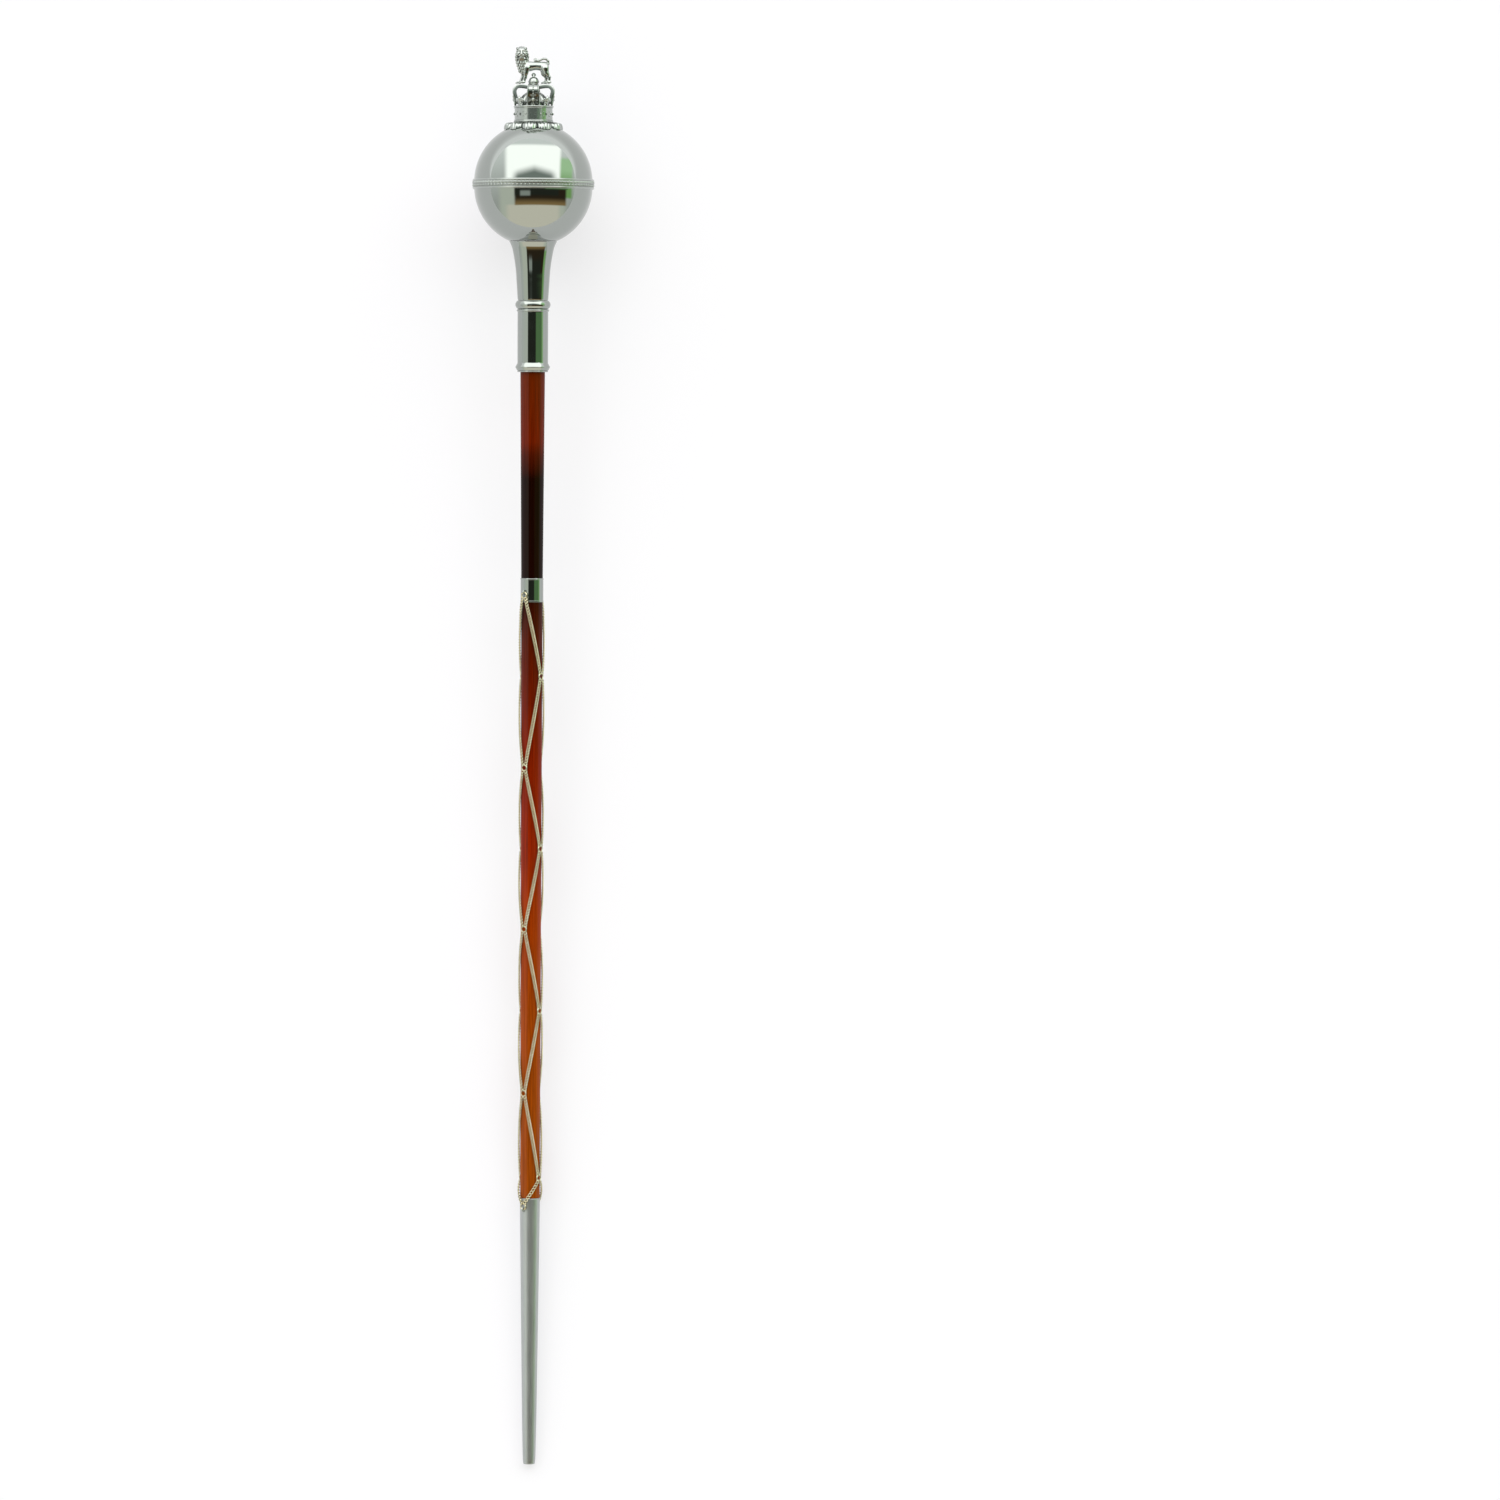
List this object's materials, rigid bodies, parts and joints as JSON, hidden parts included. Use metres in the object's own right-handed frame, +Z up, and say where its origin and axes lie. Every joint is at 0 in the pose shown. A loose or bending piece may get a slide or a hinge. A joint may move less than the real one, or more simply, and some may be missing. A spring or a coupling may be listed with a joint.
{
  "type": "ceremonial mace",
  "caption": "Drum major's ceremonial mace: lion and crown on a chromed ball, beaded neck, long stained cane laced with chain, and a tapered metal ferrule.",
  "frame": {"origin": "middle of the mace's footprint, on the surface that it lies on", "axes": "+Y from the ferrule towards the lion, along the surface; +X to the right seen from above with the lion's face up; +Z up"},
  "size_m": [0.1308, 1.5224, 0.1303],
  "materials": {
    "cast_silver": "chromed casting, bright on the high places and darker in the recesses",
    "chrome": "mirror chrome plate on spun and turned metal",
    "chain_silver": "bright plated curb chain with a warm, slightly creamy tint",
    "polished_steel": "polished along its length, satin grey",
    "stained_cane": "glossy lacquered cane, stained from near black at the collar to orange brown at the ferrule"
  },
  "bodies": {
    "root": {"lion": "cast_silver", "crown": "cast_silver", "leaf_collar": "cast_silver", "ball_upper_half": "chrome", "ball_lower_half": "chrome", "equator_band": "cast_silver", "neck_socket": "chrome", "cane_shaft": "stained_cane", "chain_collar": "chrome", "chain_net": "chain_silver", "ferrule": "polished_steel"}
  },
  "joints": []
}
